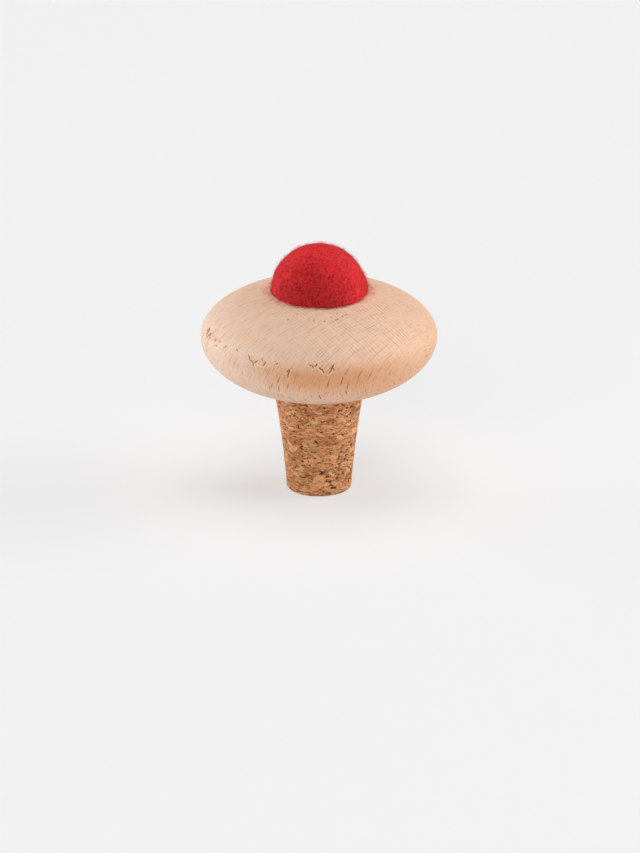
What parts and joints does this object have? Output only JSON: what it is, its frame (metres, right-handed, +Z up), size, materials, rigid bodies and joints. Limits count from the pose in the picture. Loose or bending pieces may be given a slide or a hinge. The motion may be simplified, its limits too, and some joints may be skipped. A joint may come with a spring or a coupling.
{
  "type": "wine stopper",
  "caption": "Turned wooden lens-shaped knob with a felt ball set in its crown, on a tapered cork that plugs the neck of a wine bottle.",
  "frame": {"origin": "centre of the cork's flat small end, which the stopper stands on", "axes": "+Z up along the axis of the stopper, from the cork to the ball; X and Y are free, because every piece is round about Z"},
  "size_m": [0.06, 0.06, 0.0652],
  "materials": {
    "beech": "bare, sanded on the lathe, grain leaning forward",
    "wool_felt": "fuzzy wet-felted wool",
    "pressed_cork": "ground granules, lightly pitted"
  },
  "bodies": {
    "root": {"wooden_knob": "beech", "felt_ball": "wool_felt", "tapered_cork": "pressed_cork", "dowel_pin": "beech"}
  },
  "joints": []
}
